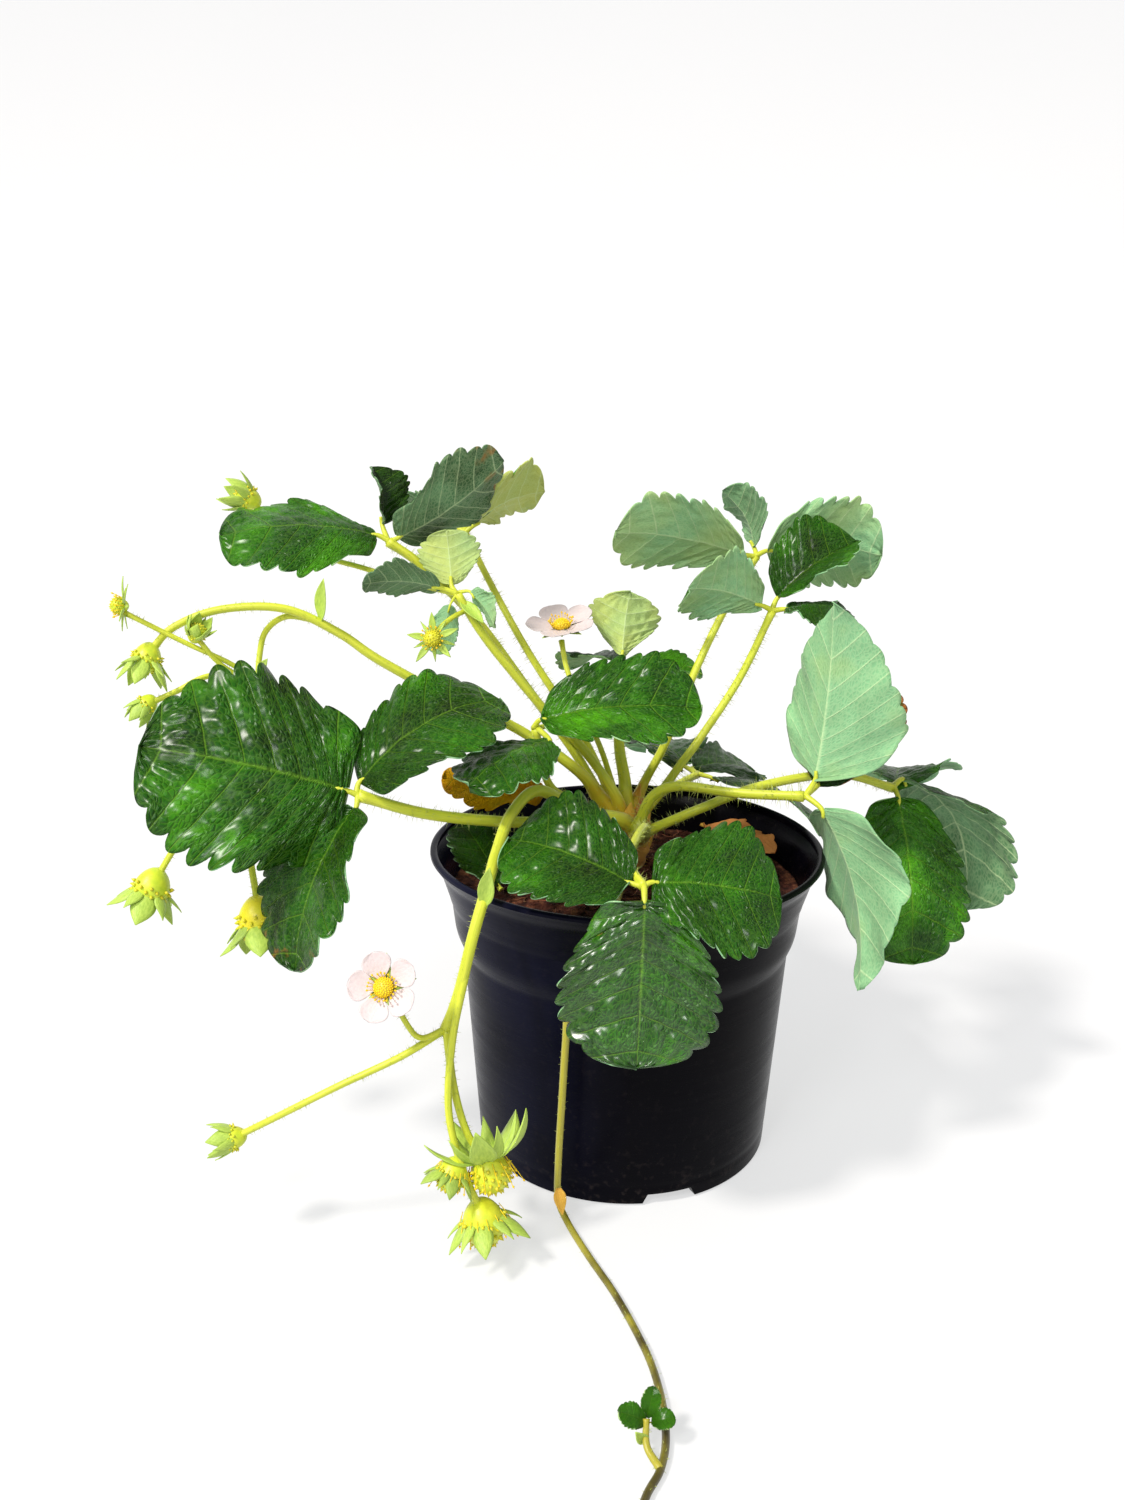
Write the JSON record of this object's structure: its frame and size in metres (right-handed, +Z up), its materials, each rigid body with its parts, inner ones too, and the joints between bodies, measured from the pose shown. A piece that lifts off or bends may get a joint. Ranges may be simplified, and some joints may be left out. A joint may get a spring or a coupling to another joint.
{
  "type": "potted strawberry plant",
  "caption": "Flowering strawberry plant with three-part toothed leaves, hanging trusses and a runner, growing in a round black nursery pot with a flared collar.",
  "frame": {"origin": "centre of the pot's underside, on the surface that it stands on", "axes": "+Z up along the pot's axis; -Y is the front, where the runner lies; +X is the plant's right seen from the front"},
  "size_m": [0.2924, 0.2667, 0.2308],
  "materials": {
    "pot": "satin",
    "soil": "matte",
    "crown": "matte",
    "leaf": "satin",
    "old_leaf": "satin",
    "withered_leaf": "matte",
    "stem": "satin",
    "petal": "satin"
  },
  "bodies": {
    "root": {"bract_leaf_left": "leaf", "bract_leaf_right": "leaf", "bract_leaf_up": "leaf", "crown": "crown", "leaf_back_over_rim": "leaf", "leaf_back_rear": "leaf", "leaf_back_right": "leaf", "leaf_centre_left": "leaf", "leaf_centre_rear": "leaf", "leaf_centre_right": "leaf", "leaf_far_right_end": "leaf", "leaf_far_right_front": "leaf", "leaf_far_right_rear": "leaf", "leaf_front_hanging": "leaf", "leaf_front_left": "leaf", "leaf_front_right": "leaf", "leaf_inside_left_rim": "leaf", "leaf_left_end": "leaf", "leaf_left_hanging": "leaf", "leaf_left_inner": "leaf", "leaf_low_right_hanging": "leaf", "leaf_low_right_scorched": "leaf", "leaf_low_right_up": "leaf", "leaf_right_folded": "leaf", "leaf_right_low": "leaf", "leaf_right_near": "leaf", "leaf_tall_left": "leaf", "leaf_tall_right": "leaf", "leaf_tall_up": "leaf", "leaf_upper_back_left": "leaf", "leaf_upper_back_rear": "leaf", "leaf_upper_back_right": "leaf", "leaf_upper_left_end": "leaf", "leaf_upper_left_side": "leaf", "leaf_upper_left_small": "leaf", "leaf_young_rear": "leaf", "leaf_young_right": "leaf", "leaf_young_up": "leaf", "old_leaf_withered": "withered_leaf", "old_leaf_yellow": "old_leaf", "petals_back_flower": "petal", "petals_front_flower": "petal", "petiole_back": "stem", "petiole_centre": "stem", "petiole_far_right": "stem", "petiole_front": "stem", "petiole_left": "stem", "petiole_low_right": "stem", "petiole_right": "stem", "petiole_tall": "stem", "petiole_upper_back": "stem", "petiole_upper_left": "stem", "petiole_young": "stem", "pot": "pot", "runner": "stem", "soil": "soil", "truss_back": "stem", "truss_front": "stem", "truss_upper": "stem", "truss_upper_left": "stem"}
  },
  "joints": []
}
